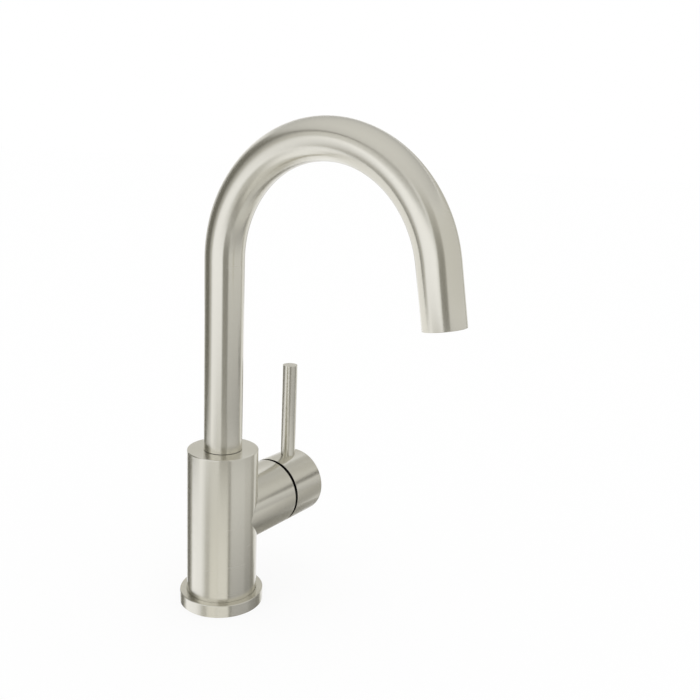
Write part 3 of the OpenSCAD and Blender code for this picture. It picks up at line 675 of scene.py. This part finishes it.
# By distance from the body's axis in metres. A row is a name, the angles in degrees where the card starts
# and ends, the heights of its foot and top in metres, its levels at the start and at the end, and the
# factor on them at the foot, which runs to 1 at the top. A level given alone is for both ends.
cards_at = {
    0.6: (
        ("key_softbox", 146, 209.5, -0.05, 0.40, 1.15, 1.22, 0.83),
        ("key_top", 146, 209.5, 0.40, 0.62, 0.84, 0.50),
        ("key_foot", 146, 180, -0.115, -0.05, 1.00, 0.95),
        ("key_foot_edge", 180, 208, -0.115, -0.05, 0.56, 0.56),
        ("front_high_scrim", 246, 327, 0.18, 0.60, 0.71, 0.66),
        ("front_scrim", 245, 327, -0.16, 0.18, 0.85, 0.80, 0.28),
        ("front_deep_scrim", 245, 341, -1.20, -0.16, 0.70),
        ("front_flag", 328, 341, -0.16, 0.25, 0.48),
        ("front_high_flag", 328, 348, 0.25, 0.60, 0.55),
        ("edge_fill", 341.5, 366, -0.37, 0.25, 0.84),
        ("edge_high_scrim", 349, 366, 0.25, 0.60, 0.55),
        ("back_scrim", 366.5, 426, 0.10, 0.60, 0.58, 0.68),
        ("back_fill", 366.5, 426, -0.37, 0.10, 0.95, 1.18),
        ("back_flag", 67, 84, -0.05, 0.60, 0.85, 0.48, 0.8),
        ("right_edge_flag", 85, 97, -0.05, 0.70, 0.18),
        ("right_flag", 97.5, 127, -0.09, 0.70, 0.18),
        ("right_scrim", 127.5, 145.5, -0.09, 0.62, 0.36, 0.64),
        ("low_right_flag", 72, 97, -0.40, -0.055, 0.17),
        ("low_right_line", 97.5, 107.5, -0.40, -0.095, 0.42),
        ("low_softbox", 108, 152, -0.42, -0.115, 1.13, 0.99),
        ("low_scrim", 152.5, 164, -0.42, -0.115, 0.95, 0.70),
        ("low_dip", 164.5, 181, -0.42, -0.115, 0.50, 0.46),
        ("low_key_edge", 181.5, 200, -0.60, -0.115, 0.62, 0.40),
        ("low_left_flag", 200.5, 244, -1.20, -0.115, 0.26),
        ("deep_flag", 341.5, 384, -0.72, -0.375, 0.27),
        ("deep_low_scrim", 341.5, 384, -1.20, -0.725, 0.75),
        ("deep_fill", 384.5, 426, -1.20, -0.375, 0.95),
        ("deep_softbox", 67, 165, -1.20, -0.425, 1.05),
        ("deep_left_scrim", 165.5, 200, -1.20, -0.425, 0.60),
    ),
    0.2: (
        ("left_paper", 183, 208, -0.14, 0.042, 0.56, 0.62, 1.65),
        ("middle_paper", 208.5, 240, -0.14, 0.042, 0.69, 0.70, 1.45),
        ("line_flag", 240.5, 247, -0.14, 0.042, 0.36, 0.36, 0.55),
        ("front_paper", 247.5, 296, -0.14, 0.042, 0.87, 0.82, 0.30),
        ("right_paper", 296.5, 322, -0.14, 0.042, 0.77, 0.70, 0.18),
        ("right_low_flag", 322.5, 339, -0.16, 0.042, 0.49, 0.36, 0.36),
        ("under_flag", 339.5, 350, -0.16, -0.060, 0.28),
    ),
    1.5: (
        ("left_flag", 210.5, 244, -0.45, 0.78, 0.34, 0.34, 0.65),
        ("left_scrim", 210.5, 244, 0.78, 1.60, 0.50),
    ),
    0.3: (("back_softbox", 365, 422, 0.285, 0.43, 1.12),),
    0.23: (("arm_flag", 314, 335, 0.100, 0.125, 0.10),),
    0.25: (("side_flag", 366, 386, 0.030, 0.100, 0.28),),
    0.59: (("top_line", 118, 200, 0.625, 0.69, 0.2),),
}
for distance, cards in cards_at.items():
    for card in cards:
        hang_card(distance, *card)


# Bounce card: one flat white sheet that stands under the spout's bend and is mirrored by the metal in
# front of it. From behind it is clear, and the side away from the valve arm is slanted.
bounce_x, bounce_y = -0.0075, -0.06
bounce_width = 0.095
bounce_low, bounce_high = 0.06, 0.272
bounce_slants = ((bounce_low, -0.030), (bounce_high, 0.021))
bounce_fade_high, bounce_level, bounce_foot = 0.29, 0.90, 1.1

deselect()
bpy.ops.mesh.primitive_plane_add(size=1, location=(0, 0, 0))
bounce = bpy.context.object
bounce.name = "card_bounce"
bpy.ops.object.mode_set(mode="EDIT")
bpy.ops.mesh.select_all(action="SELECT")
bpy.ops.transform.resize(value=(bounce_width, bounce_high - bounce_low, 1))
bpy.ops.transform.rotate(value=-math.pi / 2, orient_axis="X")
bpy.ops.transform.translate(value=(bounce_x, bounce_y, (bounce_low + bounce_high) / 2))
bpy.ops.object.mode_set(mode="OBJECT")


def pick_corners(piece, wanted):
    bpy.ops.object.mode_set(mode="EDIT")
    bpy.ops.mesh.select_mode(type="VERT")
    bpy.ops.mesh.select_all(action="DESELECT")
    bpy.ops.object.mode_set(mode="OBJECT")
    for corner in piece.data.vertices:
        corner.select = wanted(corner.co)
    bpy.ops.object.mode_set(mode="EDIT")


for height, shift in bounce_slants:
    pick_corners(bounce, lambda place: place.x < bounce_x and close_to(place.z, height))
    bpy.ops.transform.translate(value=(shift, 0, 0))
    bpy.ops.object.mode_set(mode="OBJECT")
one_sided = make_glow("glow_bounce", 0, math.pi, bounce_low, bounce_fade_high, bounce_level, bounce_level,
                      bounce_foot)
one_tree = one_sided.node_tree
one_white = next(node for node in one_tree.nodes if node.type == "EMISSION")
one_clear = one_tree.nodes.new("ShaderNodeBsdfTransparent")
one_back = one_tree.nodes.new("ShaderNodeNewGeometry")
one_mix = wire(one_tree, "ShaderNodeMixShader", {
    0: one_back.outputs["Backfacing"], 1: one_white.outputs[0], 2: one_clear.outputs[0]})
one_tree.links.new(one_mix.outputs[0], one_tree.nodes["Material Output"].inputs["Surface"])
bounce.data.materials.append(one_sided)
show_in_reflections(bounce)


# Top and deep scrims: two round cloths that close the ring of cards, one above the faucet, brightest over
# its middle and leaning to one side, and one far below.
scrim_around = 64
top_radius, top_height = 0.75, 0.75
top_inner, top_outer = 0.2, 0.7
top_inner_level, top_outer_level = 0.73, 0.58
top_lean = (-0.17, -0.06, 0)
top_paper = (1, 0.99, 0.97, 1)
deep_radius, deep_height, deep_level = 0.62, -1.21, 0.68


def make_top_glow():
    material, tree, place = start_glow("glow_top_scrim")
    flat = wire(tree, "ShaderNodeVectorMath", {0: place, 1: (1, 1, 0)}, operation="MULTIPLY")
    reach = wire(tree, "ShaderNodeVectorMath", {0: flat.outputs[0]}, operation="LENGTH")
    fall = wire(tree, "ShaderNodeMapRange", {
        "Value": reach.outputs["Value"], "From Min": top_inner, "From Max": top_outer,
        "To Min": top_inner_level, "To Max": top_outer_level})
    lean = wire(tree, "ShaderNodeVectorMath", {0: place, 1: top_lean}, operation="DOT_PRODUCT")
    level = wire(tree, "ShaderNodeMath", {0: fall.outputs[0], 1: lean.outputs["Value"]}, operation="ADD")
    shine(tree, top_paper, level.outputs[0])
    return material


def hang_round(name, radius, height, glow):
    deselect()
    bpy.ops.mesh.primitive_circle_add(
        vertices=scrim_around, radius=radius, location=(0, 0, height), fill_type="NGON")
    bpy.ops.object.transform_apply(location=True, rotation=True, scale=True)
    scrim = bpy.context.object
    scrim.name = name
    scrim.data.materials.append(glow)
    show_in_reflections(scrim)


hang_round("card_top_scrim", top_radius, top_height, make_top_glow())
hang_round("card_deep_scrim", deep_radius, deep_height,
           make_glow("glow_deep_scrim", 0, math.pi, -2, -1, deep_level, deep_level, 1.0))


# Floor: a wide pale matt table under the faucet, white to the camera but for the faucet's soft shadow.
# The room round it is plain white and gives all of the diffuse light.
floor_size = 30
floor_drop = 0.0002
pale = (0.98, 0.98, 0.98, 1)
own_white_share = 0.85

deselect()
bpy.ops.mesh.primitive_plane_add(size=floor_size, location=(0, 0, -floor_drop))
floor = bpy.context.object
floor.name = "floor"
table = bpy.data.materials.new("pale table")
table.use_nodes = True
table.cycles.emission_sampling = "NONE"
table_tree = table.node_tree
table_shader = table_tree.nodes["Principled BSDF"]
table_shader.inputs["Base Color"].default_value = pale
table_shader.inputs["Roughness"].default_value = 0.9
table_shader.inputs["Specular IOR Level"].default_value = 0.0
table_white = wire(table_tree, "ShaderNodeEmission", {"Color": (1, 1, 1, 1), "Strength": 1.0})
table_mix = wire(table_tree, "ShaderNodeMixShader", {1: table_shader.outputs[0], 2: table_white.outputs[0]})
table_ray = table_tree.nodes.new("ShaderNodeLightPath").outputs
table_mirrored = wire(table_tree, "ShaderNodeMath", {
    0: table_ray["Is Glossy Ray"], 1: table_ray["Is Transmission Ray"]}, operation="MAXIMUM")
table_looked_at = wire(table_tree, "ShaderNodeMath", {
    0: table_ray["Is Camera Ray"], 1: table_mirrored.outputs[0]}, operation="MAXIMUM")
table_seen = wire(table_tree, "ShaderNodeMath", {
    0: table_looked_at.outputs[0], 1: own_white_share}, operation="MULTIPLY")
table_tree.links.new(table_seen.outputs[0], table_mix.inputs[0])
table_tree.links.new(table_mix.outputs[0], table_tree.nodes["Material Output"].inputs["Surface"])
floor.data.materials.append(table)
floor.visible_glossy = False

world = bpy.data.worlds.new("white room")
bpy.context.scene.world = world
world.use_nodes = True
world.node_tree.nodes["Background"].inputs["Color"].default_value = (1, 1, 1, 1)
world.node_tree.nodes["Background"].inputs["Strength"].default_value = 1.0
world.cycles.sampling_method = "NONE"

bpy.context.scene.view_settings.view_transform = "Standard"


# Camera: in front and to the left of the faucet and a little above it, with the slight roll of the
# photograph.
camera_turn = math.radians(-56.85)
camera_rise = math.radians(13.08)
camera_roll = math.radians(2.5)
camera_distance = 0.5579
camera_right, camera_up = 0.08052, 0.02470
aim = Vector((0, 0, 0.1516))
back = Vector((math.sin(camera_turn) * math.cos(camera_rise), -math.cos(camera_turn) * math.cos(camera_rise),
               math.sin(camera_rise)))
right = (-back).cross(Vector((0, 0, 1))).normalized()
up = right.cross(-back)
place = aim + back * camera_distance + right * camera_right + up * camera_up
across = right * math.cos(camera_roll) + up * math.sin(camera_roll)
upward = up * math.cos(camera_roll) - right * math.sin(camera_roll)
camera_data = bpy.data.cameras.new("camera")
camera_data.lens = 44.5
camera_data.sensor_width = 36
camera_data.clip_start = 0.01
camera = bpy.data.objects.new("camera", camera_data)
camera.matrix_world = Matrix((across, upward, back)).transposed().to_4x4()
camera.location = place
bpy.context.scene.collection.objects.link(camera)
bpy.context.scene.camera = camera
